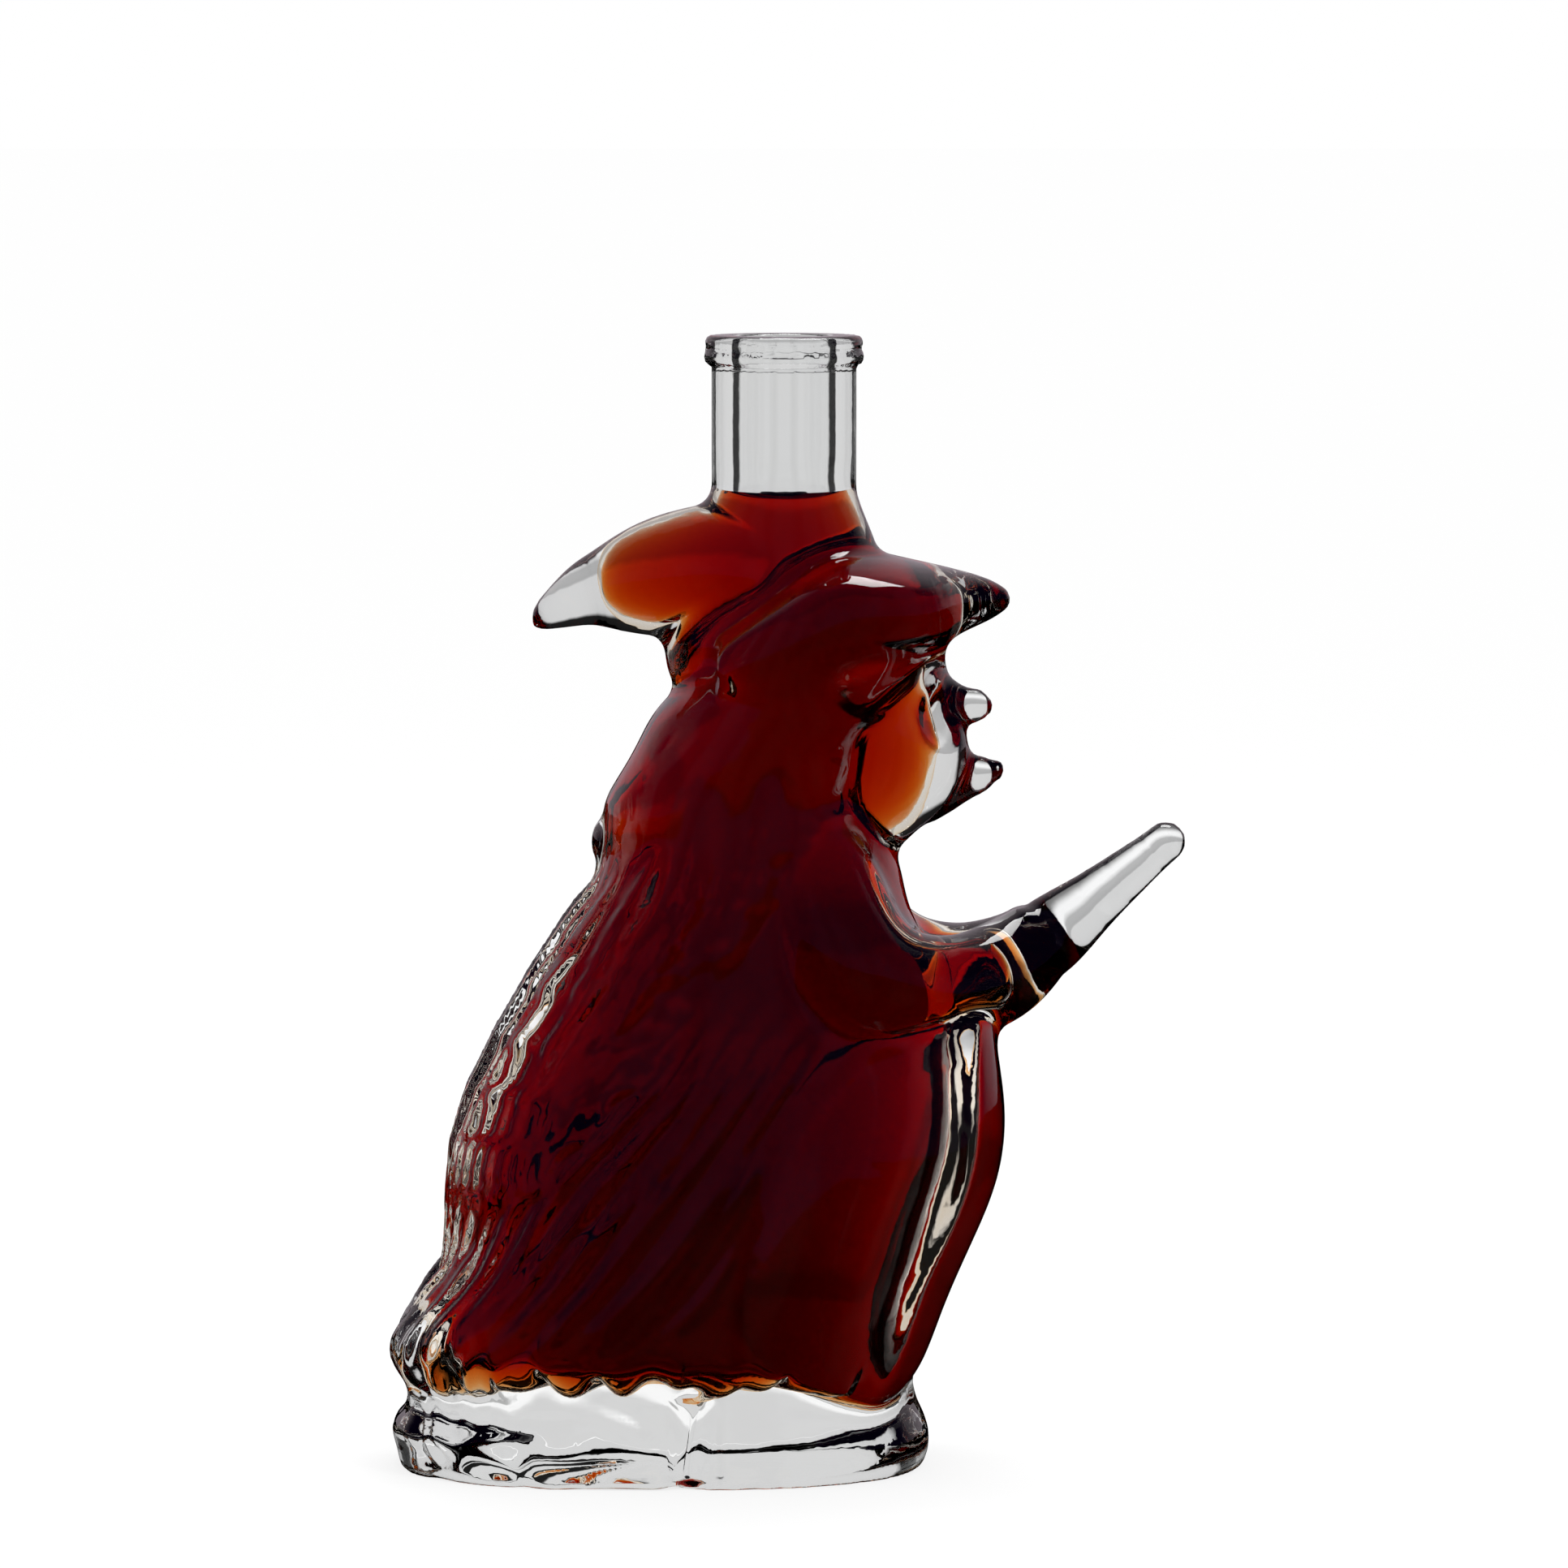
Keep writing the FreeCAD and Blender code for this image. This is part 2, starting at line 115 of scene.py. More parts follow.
def newPiece(name, mesh, node, slotName, *materials):
    piece = bpy.data.objects.new(name, mesh)
    scene.collection.objects.link(piece)
    if len(mesh.materials) > 0:      # clearing an empty list would still reset the faces' choice
        mesh.materials.clear()
    for material in materials:
        mesh.materials.append(material)
    mesh.shade_smooth()
    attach(piece, "root")
    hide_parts(node)


# materials

def addNode(tree, kind, x=0, y=0, **values):
    node = tree.nodes.new(kind)
    node.location = (x, y)
    for key, value in values.items():
        setattr(node, key, value)
    return node


skin = {
    "inputs": (("Flow Scale", 30.0), ("Peel Scale", 220.0), ("Peel Share", 0.25),
               ("Smoothest", 0.0), ("Roughest", 0.02)),
    "flowDetail": 1.5, "flowBend": 0.6, "peelDetail": 2.0, "wear": (0.35, 0.75),
    "coolTint": (0.985, 0.992, 1.0, 1.0), "warmTint": (1.0, 1.0, 0.992, 1.0),
}


def mouldedSkin():
    # faint flow waves and orange peel that a mould leaves in pressed glass
    group = bpy.data.node_groups.new("mouldedSkin", "ShaderNodeTree")
    sockets = group.interface
    for name, value in skin["inputs"]:
        sockets.new_socket(name, in_out="INPUT", socket_type="NodeSocketFloat").default_value = value
    sockets.new_socket("Height", in_out="OUTPUT", socket_type="NodeSocketFloat")
    sockets.new_socket("Roughness", in_out="OUTPUT", socket_type="NodeSocketFloat")
    sockets.new_socket("Tint", in_out="OUTPUT", socket_type="NodeSocketColor")
    start = addNode(group, "NodeGroupInput", -900, 0)
    end = addNode(group, "NodeGroupOutput", 500, 0)
    place = addNode(group, "ShaderNodeTexCoord", -900, -300)
    flow = addNode(group, "ShaderNodeTexNoise", -600, 200)
    flow.inputs["Detail"].default_value = skin["flowDetail"]
    flow.inputs["Distortion"].default_value = skin["flowBend"]
    peel = addNode(group, "ShaderNodeTexNoise", -600, -150)
    peel.inputs["Detail"].default_value = skin["peelDetail"]
    both = addNode(group, "ShaderNodeMix", -250, 100)
    wear = addNode(group, "ShaderNodeMapRange", -250, -150)
    wear.inputs["From Min"].default_value, wear.inputs["From Max"].default_value = skin["wear"]
    tint = addNode(group, "ShaderNodeValToRGB", -250, -450)
    tint.color_ramp.elements[0].color = skin["coolTint"]
    tint.color_ramp.elements[1].color = skin["warmTint"]
    link = group.links.new
    link(place.outputs["Object"], flow.inputs["Vector"])
    link(place.outputs["Object"], peel.inputs["Vector"])
    link(start.outputs["Flow Scale"], flow.inputs["Scale"])
    link(start.outputs["Peel Scale"], peel.inputs["Scale"])
    link(start.outputs["Peel Share"], both.inputs["Factor"])
    link(flow.outputs["Fac"], both.inputs["A"])
    link(peel.outputs["Fac"], both.inputs["B"])
    link(peel.outputs["Fac"], wear.inputs["Value"])
    link(start.outputs["Smoothest"], wear.inputs["To Min"])
    link(start.outputs["Roughest"], wear.inputs["To Max"])
    link(flow.outputs["Fac"], tint.inputs["Fac"])
    link(both.outputs["Result"], end.inputs["Height"])
    link(wear.outputs["Result"], end.inputs["Roughness"])
    link(tint.outputs["Color"], end.inputs["Tint"])
    return group


skinGroup = mouldedSkin()


def glassMaterial(name, look):
    material = bpy.data.materials.new(name)
    material.use_nodes = True
    tree = material.node_tree
    shader = tree.nodes["Principled BSDF"]
    shader.inputs["Transmission Weight"].default_value = 1.0
    shader.inputs["IOR"].default_value = look["ior"]
    surface = addNode(tree, "ShaderNodeGroup", -600, 0, node_tree=skinGroup)
    surface.inputs["Flow Scale"].default_value = look["flowScale"]
    surface.inputs["Peel Scale"].default_value = look["peelScale"]
    surface.inputs["Roughest"].default_value = look["roughest"]
    relief = addNode(tree, "ShaderNodeBump", -300, -200)
    relief.inputs["Strength"].default_value = look["reliefStrength"]
    relief.inputs["Distance"].default_value = look["relief"] * mm
    tree.links.new(surface.outputs["Tint"], shader.inputs["Base Color"])
    tree.links.new(surface.outputs["Roughness"], shader.inputs["Roughness"])
    tree.links.new(surface.outputs["Height"], relief.inputs["Height"])
    tree.links.new(relief.outputs["Normal"], shader.inputs["Normal"])
    if "absorption" in look:
        volume = addNode(tree, "ShaderNodeVolumeAbsorption", 0, -400)
        volume.inputs["Color"].default_value = look["absorption"]
        volume.inputs["Density"].default_value = look["density"]
        tree.links.new(volume.outputs["Volume"], tree.nodes["Material Output"].inputs["Volume"])
    return material


glassLook = {
    "ior": 1.5, "flowScale": 45.0, "peelScale": 260.0, "roughest": 0.012,
    "reliefStrength": 0.35, "relief": 0.25,
}
wetLook = {
    "ior": 1.103, "flowScale": 38.0, "peelScale": 200.0, "roughest": 0.012,
    "reliefStrength": 0.5, "relief": 0.4,
}
# the liquor's walls lie in the wet glass, which bends the light for both
liquorLook = {
    "ior": 1.0, "flowScale": 20.0, "peelScale": 120.0, "roughest": 0.004,
    "reliefStrength": 0.1, "relief": 0.1, "absorption": (0.907, 0.53, 0.0, 1.0), "density": 700.0,
}
levelLook = dict(liquorLook, ior=1.36)

clearGlass = glassMaterial("clearGlass", glassLook)
wetGlass = glassMaterial("wetGlass", wetLook)
redLiquor = glassMaterial("redLiquor", liquorLook)
liquorTop = glassMaterial("liquorTop", levelLook)
print("materials made")


# glass: the moulding is remeshed evenly, its joins melted together, then the relief is carved

glass = {
    "voxel": 0.9,
    "evenRounds": 6, "evenSteps": (0.5, -0.52),
    "meltRounds": 30, "meltStep": 0.6, "meltLift": (0.004, 0.03), "footKept": 2.5,
    "finishFoot": 186.0, "finishSoft": 4.0,      # nothing is melted above it
    # places where forms flow into each other: X, Z, half width, half height, rounds
    "softPlaces": ((33.0, 139.5, 15.0, 9.0, 60), (44.0, 95.0, 17.0, 15.0, 30)),
    "softStep": 0.5, "softEdge": (0.55, 1.0), "softSide": (5.0, 9.0),
    "settleRounds": 2, "settleSteps": (0.4, -0.42),
    # where the search for the inner wall starts, and where it stops under the lip
    "floorReach": 12.0, "floorTop": 30.0, "floorNear": 1.0, "lipDepth": 1.5,
}


def evenMesh(node, voxel):
    source = bpy.data.objects.new("source", frame["nodes"][node].data.copy())
    scene.collection.objects.link(source)
    remesh = source.modifiers.new("even", "REMESH")
    remesh.mode = "VOXEL"
    remesh.voxel_size = voxel * mm
    made = source.evaluated_get(bpy.context.evaluated_depsgraph_get())
    mesh = bpy.data.meshes.new_from_object(made)
    old = source.data
    bpy.data.objects.remove(source)
    bpy.data.meshes.remove(old)
    return mesh


def nodeTree(node):
    mesh = frame["nodes"][node].data
    points = [v.co / mm for v in mesh.vertices]
    return BVHTree.FromPolygons(points, [tuple(p.vertices) for p in mesh.polygons])


def insideMask(points, edges):
    # wall of the hollow: all that is joined to its floor below the lip
    tree = nodeTree("liquor")
    below = points[:, 2] < mouthZ - glass["lipDepth"]
    usable = edges[below[edges].all(axis=1)]
    middle = np.hypot(points[:, 0], points[:, 1]) < glass["floorReach"]
    low = np.flatnonzero(middle & (points[:, 2] < glass["floorTop"]))
    onFloor = [i for i in low if tree.find_nearest(Vector(points[i]))[3] < glass["floorNear"]]
    reached = np.zeros(len(points), dtype=bool)
    reached[onFloor] = True
    count = 0
    while reached.sum() > count:
        count = reached.sum()
        first, second = reached[usable[:, 0]], reached[usable[:, 1]]
        reached[usable[first, 1]] = True
        reached[usable[second, 0]] = True
    return reached


neckProfile = {
    "radius": 12.7, "ring": 14.0, "groove": 12.95, "bead": 13.9,
    "ringLow": 5.2, "ringHigh": 2.3, "lipRound": 1.0, "steps": 10, "fullness": 0.6, "beadLean": 0.5,
    "turned": (2.0, 7.0),      # above the bore's foot: where the outline starts, and where it holds fully
}


def swelling(shape, low, high, inner, outer, lean):
    # rounded band of the neck between two depths under the mouth
    line = []
    for step in range(1, shape["steps"]):
        turn = math.pi * step / shape["steps"]
        inward = lean * (step / shape["steps"]) ** 3
        line.append((inner + (outer - inner) * math.sin(turn) ** shape["fullness"] - inward,
                     mouthZ - low + (low - high) * (1.0 - math.cos(turn)) / 2.0))
    return line


def finishOutline(shape):
    # half section of the neck, from its foot up over the ring and the bead, into the bore
    start = boreFoot + shape["turned"][0]
    line = [(shape["radius"], start), (shape["radius"], mouthZ - shape["ringLow"])]
    line += swelling(shape, shape["ringLow"], shape["ringHigh"], shape["radius"], shape["ring"], 0.0)
    line.append((shape["groove"], mouthZ - shape["ringHigh"]))
    line += swelling(shape, shape["ringHigh"], 0.0, shape["groove"], shape["bead"], shape["beadLean"])
    for step in range(shape["steps"] + 1):
        turn = 0.5 * math.pi * step / shape["steps"]
        line.append((boreRadius + shape["lipRound"] * (1.0 - math.sin(turn)),
                     mouthZ - shape["lipRound"] * (1.0 - math.cos(turn))))
    line.append((boreRadius, start))
    return np.array(line)


def nearestOnLine(line, places):
    best = np.full(len(places), 1e9)
    found = np.zeros_like(places)
    for start, end in zip(line[:-1], line[1:]):
        way = end - start
        share = np.clip(((places - start) @ way) / max(way @ way, 1e-9), 0.0, 1.0)
        spot = start + share[:, None] * way
        gap = np.hypot(*(places - spot).T)
        nearer = gap < best
        best[nearer] = gap[nearer]
        found[nearer] = spot[nearer]
    return found


def turnNeck(points, weight):
    # pull the neck's points on to its turned outline
    away = np.stack([points[:, 0] - neckX, points[:, 1]], axis=1)
    around = np.maximum(np.hypot(away[:, 0], away[:, 1]), 1e-6)
    near = weight > 0.0
    places = np.stack([around[near], points[near, 2]], axis=1)
    target = nearestOnLine(finishOutline(neckProfile), places)
    moved = points.copy()
    drawn = away[near] * (target[:, 0] / around[near])[:, None]
    share = weight[near][:, None]
    moved[near, :2] = points[near, :2] * (1.0 - share) + (drawn + [neckX, 0.0]) * share
    moved[near, 2] = points[near, 2] * (1.0 - share[:, 0]) + target[:, 1] * share[:, 0]
    return moved


# outline of the body at a few levels, for fields that run around it
body = {
    "levels": (0.0, 15.0, 37.0, 55.0, 73.0, 91.0, 106.0, 121.0, 136.0, 150.0),
    "back": (-46.0, -46.0, -40.0, -38.0, -31.0, -21.0, -12.0, -8.0, -2.0, 5.0),
    "front": (45.0, 44.0, 49.0, 55.0, 55.0, 48.0, 42.0, 41.0, 40.0, 38.0),
    "half": (31.0, 31.0, 33.0, 32.0, 29.5, 26.5, 24.0, 22.0, 21.0, 18.0),
    "reliefEnd": (136.0, 141.0),
}
# pairs of levels, places and turns are where a change starts and where it ends
# the waves of a wander are size, wave length up the body and rate around it
hair = {
    "levels": (38.0, 42.0, 48.0, 54.0, 63.0, 69.0, 80.0, 87.0, 95.0, 105.0, 119.0, 128.0, 140.0),
    "edge": (-56.0, -36.5, -23.5, -16.5, -9.0, -3.5, 2.0, 5.0, 12.5, 21.0, 30.0, 33.0, 36.0),
    "lockWaves": ((2.2, 0.62, 0.8), (0.8, 1.37, 0.0)),      # size, rate, start
    "soft": 2.6, "bottom": (38.0, 52.0), "top": (132.0, 139.0), "widest": 0.98, "narrowest": 0.05,
    "strands": 11.0, "wander": ((1.1, 17.0, 3.0), (0.4, 8.0, 8.0)), "crest": 0.7,
    "height": 0.42, "raise": 0.3, "swell": 0.6, "swellWander": ((0.4, 13.0, 7.0),),
    # strands are deep along the back, and fade towards the sides and the head
    "sideShare": 0.27, "side": (0.55, 1.2), "headLoss": 0.85, "head": (98.0, 114.0),
}
folds = {
    "levels": (15.0, 35.0, 58.0, 66.0, 71.0, 74.0),
    "edge": (9.0, 12.0, 19.0, 26.0, 33.4, 55.0),
    "soft": 4.0, "bottom": (22.0, 34.0), "top": (60.0, 82.0),
    "count": 46.0, "lean": 0.012, "wander": ((0.9, 14.0, 5.0), (0.5, 7.0, 0.0)),
    "crest": 0.8, "rest": 0.45, "height": 0.4, "innerShare": 0.4,
}
# uneven waves are size, rate around the body, bend and rate of the bend
foot = {
    "top": 15.0, "topSoft": 3.0, "backEnd": (-6.0, 6.0),
    "ripple": 0.24, "count": 15.0, "lean": 0.014, "wander": ((1.3, 3.7, 6.0), (0.8, math.inf, 11.0)),
    "notchX": 5.0, "notchLean": 0.35, "notchLevel": 8.0, "notchSide": (18.0, 24.0),
    "notchWide": 2.2, "notchDeep": 0.6,
    "hem": 0.34, "hemLevel": 17.0, "hemHigh": 6.0, "hemFront": 0.35,
    "hemWaves": ((1.0, 13.0, 1.7, 4.1), (0.7, 29.0, 2.0, 7.0)),
    "jag": 1.5, "jagOut": (0.4, 0.75), "jagTop": (19.0, 31.0),
    "jagWaves": ((0.7, 15.0, 1.5, 5.0), (0.4, 26.0, 2.0, 3.0)),
}


def bodyAt(z):
    return [np.interp(z, body["levels"], body[side]) for side in ("back", "front", "half")]


def aroundBody(x, y, z):
    back, front, half = bodyAt(z)
    middle = (back + front) / 2.0
    return np.arctan2(np.abs(y) / half, (middle - x) / ((front - back) / 2.0))


def unevenWave(turn, waves):
    total = 0.0
    for size, rate, bend, bendRate in waves:
        total = total + size * np.cos(rate * turn + bend * np.sin(bendRate * turn))
    return total


def wander(value, waves, z, around):
    for size, length, rate in waves:
        value = value + size * np.sin(z / length + rate * around)
    return value


def hairField(x, y, z):
    edge = np.interp(z, hair["levels"], hair["edge"])
    for size, rate, start in hair["lockWaves"]:
        edge = edge + size * np.sin(z * rate + start)
    back, front, _ = bodyAt(z)
    middle, reach = (back + front) / 2.0, (front - back) / 2.0
    edgeTurn = np.arccos(np.clip((middle - edge) / reach, -hair["widest"], hair["widest"]))
    turn = aroundBody(x, y, z)
    place = turn / np.maximum(edgeTurn, hair["narrowest"])
    mask = ramp(0.0, hair["soft"], (edgeTurn - turn) * reach)
    mask = mask * ramp(*hair["bottom"], z) * (1.0 - ramp(*hair["top"], z))
    phase = wander(2.0 * math.pi * hair["strands"] * place, hair["wander"], z, place)
    strand = (0.5 + 0.5 * np.cos(phase)) ** hair["crest"] - 0.5
    swell = wander(hair["swell"], hair["swellWander"], z, place)
    depth = hair["sideShare"] + (1.0 - hair["sideShare"]) * (1.0 - ramp(*hair["side"], turn))
    depth = depth * (1.0 - hair["headLoss"] * ramp(*hair["head"], z))
    return mask, mask * (hair["height"] * 2.0 * strand * swell * depth + hair["raise"])


def foldField(x, y, z, hairMask):
    edge = np.interp(z, folds["levels"], folds["edge"])
    turn = aroundBody(x, y, z)
    mask = ramp(0.0, folds["soft"], edge - x) * (1.0 - hairMask)
    mask = mask * ramp(*folds["bottom"], z) * (1.0 - ramp(*folds["top"], z))
    phase = wander(folds["count"] * (turn - folds["lean"] * z), folds["wander"], z, turn)
    wave = (0.5 + 0.5 * np.cos(phase)) ** folds["crest"] - folds["rest"]
    return mask * folds["height"] * 2.0 * wave


def footField(x, y, z):
    turn = aroundBody(x, y, z)
    low = 1.0 - ramp(foot["top"] - foot["topSoft"], foot["top"] + foot["topSoft"], z)
    backHalf = 1.0 - ramp(*foot["backEnd"], x)
    phase = wander(foot["count"] * (turn + foot["lean"] * z), foot["wander"], z, turn)
    ripples = low * backHalf * foot["ripple"] * np.cos(phase)
    notchX = foot["notchX"] + foot["notchLean"] * (z - foot["notchLevel"])
    notch = low * ramp(*foot["notchSide"], np.abs(y)) * bump(x, notchX, foot["notchWide"])
    # uneven hem where the liquor ends above the thick foot
    hem = bump(z, foot["hemLevel"], foot["hemHigh"]) * foot["hem"]
    hem = hem * (foot["hemFront"] + (1.0 - foot["hemFront"]) * backHalf)
    return ripples + hem * unevenWave(turn, foot["hemWaves"]) - foot["notchDeep"] * notch


def hollowFoot(x, y, z):
    # jagged lower edge of the hollow, as the pleats end on its floor
    back, front, half = bodyAt(z)
    out = np.hypot((2.0 * x - back - front) / (front - back), y / half)
    jag = unevenWave(aroundBody(x, y, z), foot["jagWaves"])
    return foot["jag"] * jag * ramp(*foot["jagOut"], out) * (1.0 - ramp(*foot["jagTop"], z))


def carve(points, normals, inside):
    x, y, z = points.T
    hairMask, strands = hairField(x, y, z)
    pleats = foldField(x, y, z, hairMask)
    relief = strands + pleats + footField(x, y, z)
    onBody = 1.0 - ramp(*body["reliefEnd"], z)
    relief = np.where(inside, -folds["innerShare"] * pleats * onBody, relief * onBody)
    carved = points + normals * relief[:, None]
    carved[:, 2] += np.where(inside, hollowFoot(x, y, z), 0.0)
    return carved


def meltJoins(mesh, points, edges):
    # only hollows are filled, so the finish and the crests keep their shape
    for _ in range(glass["meltRounds"]):
        writePoints(mesh, points)
        pull = meanOfNeighbours(points, edges) - points
        lift = np.einsum("ij,ij->i", pull, readNormals(mesh))
        below = 1.0 - ramp(glass["finishFoot"] - glass["finishSoft"], glass["finishFoot"], points[:, 2])
        hollowness = ramp(*glass["meltLift"], lift) * below
        hollowness = np.where(points[:, 2] < glass["footKept"], 0.0, hollowness)
        points = points + glass["meltStep"] * hollowness[:, None] * pull
    return points


def softenPlaces(points, edges):
    for x, z, halfWide, halfHigh, rounds in glass["softPlaces"]:
        out = np.hypot((points[:, 0] - x) / halfWide, (points[:, 2] - z) / halfHigh)
        soft = glass["softStep"] * (1.0 - ramp(*glass["softEdge"], out))
        soft = soft * ramp(*glass["softSide"], np.abs(points[:, 1]))
        points = relax(points, edges, rounds, (1.0,), soft)
    return points


def shapeGlass():
    mesh = evenMesh("glass_bottle", glass["voxel"])
    points = readPoints(mesh)
    edges = readEdges(mesh)
    inside = insideMask(points, edges)
    print("inner wall holds", int(inside.sum()), "of", len(points), "points")
    free = np.ones(len(points))
    points = relax(points, edges, glass["evenRounds"], glass["evenSteps"], free)
    points = softenPlaces(meltJoins(mesh, points, edges), edges)
    writePoints(mesh, points)
    points = carve(points, readNormals(mesh), inside)
    points = relax(points, edges, glass["settleRounds"], glass["settleSteps"], free)
    start, full = neckProfile["turned"]
    points = turnNeck(points, ramp(boreFoot + start, boreFoot + full, points[:, 2]))
    points[:, 2] = np.maximum(points[:, 2], 0.0)
    writePoints(mesh, points)
    return mesh, inside


glassMesh, insideWall = shapeGlass()
newPiece("glassFigure", glassMesh, "glass_bottle", "clear_glass", clearGlass, wetGlass)
print("glass shaped,", len(glassMesh.polygons), "faces")


# liquor: lies against the carved wall up to its level, with a meniscus

# rings: share of the bore's radius and height above the level, from the wall to the middle
liquor = {
    "lap": 0.05, "climb": 0.5, "wallReach": 2.3,
    "rings": ((0.96, 0.25), (0.91, 0.0), (0.84, -0.28), (0.74, -0.57),
              (0.6, -0.82), (0.42, -0.99), (0.2, -1.08)),
}
liquorTopZ = liquorLevel + liquor["climb"]


def cutLevel(build, clearAbove):
    everything = list(build.verts) + list(build.edges) + list(build.faces)
    bmesh.ops.bisect_plane(build, geom=everything, plane_co=(0.0, 0.0, liquorTopZ * mm),
                           plane_no=(0.0, 0.0, 1.0), clear_outer=clearAbove)


def cutAtLevel(mesh, inside):
    # a clean edge round the bore where the wet wall ends
    build = bmesh.new()
    build.from_mesh(mesh)
    cutLevel(build, False)
    build.to_mesh(mesh)
    build.free()
    added = readPoints(mesh)[len(inside):]
    onWall = np.hypot(added[:, 0] - neckX, added[:, 1]) < boreRadius + liquor["wallReach"]
    return np.append(inside, onWall)


def wetFaces(mesh, inside):
    # faces of the wall that the liquor touches, which become wet glass
    points = readPoints(mesh)
    found = []
    for polygon in mesh.polygons:
        corners = list(polygon.vertices)
        if inside[corners].all() and points[corners, 2].min() < liquorTopZ:
            found.append(polygon.index)
            if points[corners, 2].mean() < liquorTopZ:
                polygon.material_index = 1
    return found


def addMeniscus(build):
    # rings from the wall inwards, closed in the middle
    rim = [edge for edge in build.edges if edge.is_boundary]
    wallFaces = set(build.faces)
    middle = Vector((neckX * mm, 0.0, 0.0))
    for share, height in liquor["rings"]:
        grown = bmesh.ops.extrude_edge_only(build, edges=rim)["geom"]
        rim = [item for item in grown if isinstance(item, bmesh.types.BMEdge)]
        for vert in {v for edge in rim for v in edge.verts}:
            away = (vert.co - middle).to_2d().normalized() * boreRadius * mm * share
            vert.co = Vector((middle.x + away.x, away.y, (liquorLevel + height) * mm))
    bmesh.ops.contextual_create(build, geom=rim)
    bmesh.ops.triangulate(build, faces=[face for face in build.faces if len(face.verts) > 4])
    for face in build.faces:
        face.material_index = 0 if face in wallFaces else 1
    for edge in build.edges:      # sharp where the surface meets the wall
        edge.smooth = len({face.material_index for face in edge.link_faces}) < 2


def shapeLiquor(mesh, inside):
    wall = readPoints(mesh) - readNormals(mesh) * liquor["lap"]
    faces = [tuple(reversed(mesh.polygons[i].vertices)) for i in wetFaces(mesh, inside)]
    used = sorted({corner for face in faces for corner in face})
    order = {corner: index for index, corner in enumerate(used)}
    build = bmesh.new()
    made = [build.verts.new(Vector(wall[corner] * mm)) for corner in used]
    for face in faces:
        build.faces.new([made[order[corner]] for corner in face])
    cutLevel(build, True)
    addMeniscus(build)
    bmesh.ops.recalc_face_normals(build, faces=list(build.faces))
    openEdges = [edge for edge in build.edges if not edge.is_manifold]
    print("liquor open edges:", len(openEdges), "volume", round(build.calc_volume() * 1e6, 1), "cm3")
    shaped = bpy.data.meshes.new("liquorFill")
    build.to_mesh(shaped)
    build.free()
    return shaped


insideWall = cutAtLevel(glassMesh, insideWall)
liquorMesh = shapeLiquor(glassMesh, insideWall)
glassMesh.update()
newPiece("liquorFill", liquorMesh, "liquor", "liquor", redLiquor, liquorTop)
print("liquor shaped,", len(liquorMesh.polygons), "faces")


# studio: white floor and surround, lit from behind through the glass

studio = {
    "target": (21.4, 0.0, 120.5), "elevation": 4.8, "distance": 1636.0, "clipEnd": 50.0,
    "sensor": 36.0, "focalPixels": 11452.0, "imageSide": 1932.0,
    "floorSize": 30.0, "floorWhite": 0.8, "paper": (0.9, 0.9, 0.9, 1.0), "footHalf": (47.0, 33.0),
}
# light around the object for rays through the glass: turn from the back in half turns, share
panels = (
    (0.0, 1.0), (0.26, 1.0), (0.285, 0.014), (0.40, 0.014), (0.42, 0.71), (0.58, 0.71), (0.60, 0.014),
    (0.66, 0.014), (0.68, 0.71), (0.82, 0.71), (0.84, 0.014), (0.90, 0.014), (0.92, 0.64), (1.0, 0.64),
)
# painted light on the floor for the same rays, a pool of light with a darker band further out: distance in
# half sizes of the foot, level where 1 is white
floorLight = (
    (0.0, 0.70), (2.8, 0.70), (3.8, 1.0), (8.5, 1.0), (12.0, 0.50), (25.0, 0.45), (33.0, 0.70), (50.0, 0.70),
)
# pairs are where a change starts and ends, or the levels before and after it
surround = {
    "white": (1.0, 1.0, 1.0), "soft": (1.1, 1.1, 1.1), "black": (0.0, 0.0, 0.0),
    "glossFront": (0.020, 0.008, 0.060), "glossBehind": (0.42, 0.36, 0.40), "behind": (0.3, 0.8),
    "skyline": (0.44, 0.54), "skyLight": (0.70, 0.014),
    # the painted shadow under the foot ends between these distances, in half sizes of the foot
    "clearOfFoot": (0.95, 1.1), "glance": (0.30, 0.56), "glanceLight": (0.25, 1.0),
}


def makeCamera():
    data = bpy.data.cameras.new("camera")
    camera = bpy.data.objects.new("camera", data)
    scene.collection.objects.link(camera)
    rise = math.radians(studio["elevation"])
    target = Vector(studio["target"]) * mm
    away = Vector((0.0, -math.cos(rise), math.sin(rise))) * studio["distance"] * mm
    camera.location = target + away
    camera.rotation_euler = (-away).to_track_quat("-Z", "Y").to_euler()
    data.sensor_width = studio["sensor"]
    data.lens = studio["sensor"] * studio["focalPixels"] / studio["imageSide"]
    data.clip_end = studio["clipEnd"]
    scene.camera = camera


def fillRamp(rampData, stops):
    # the first and the last stop are the ends that a new ramp has
    for place, level in stops[1:-1]:
        rampData.elements.new(place).color = (level, level, level, 1.0)
    for element, (_, level) in ((rampData.elements[0], stops[0]), (rampData.elements[-1], stops[-1])):
        element.color = (level, level, level, 1.0)


